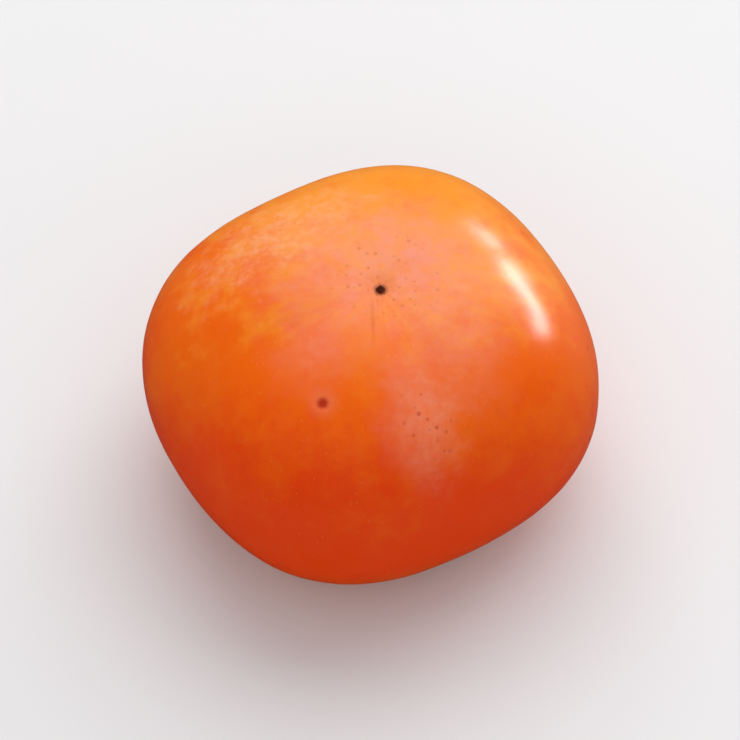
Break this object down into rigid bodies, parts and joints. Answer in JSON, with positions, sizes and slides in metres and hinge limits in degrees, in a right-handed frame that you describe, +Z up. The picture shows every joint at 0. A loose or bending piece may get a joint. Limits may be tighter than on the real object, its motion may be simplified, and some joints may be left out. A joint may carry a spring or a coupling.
{
  "type": "persimmon",
  "caption": "Flat-round orange persimmon with a rounded square section, standing on its leathery lobed calyx with the blossom end up.",
  "frame": {"origin": "on the surface that the fruit stands on, under the middle of its bounding box", "axes": "+Z up through the blossom end, -Y towards the side that the picture shows"},
  "size_m": [0.0692, 0.0666, 0.0466],
  "materials": {
    "skin": "waxy smooth skin with a thin pale bloom, orange, paler round the blossom end",
    "calyx_leaf": "dull dry leathery leaf, olive brown with browner rims",
    "bark": "rough brown bark with a pale cut end",
    "dry_style": "dry, almost black"
  },
  "bodies": {
    "root": {"fruit": "skin", "calyx": "calyx_leaf", "stem": "bark", "style": "dry_style"}
  },
  "joints": []
}
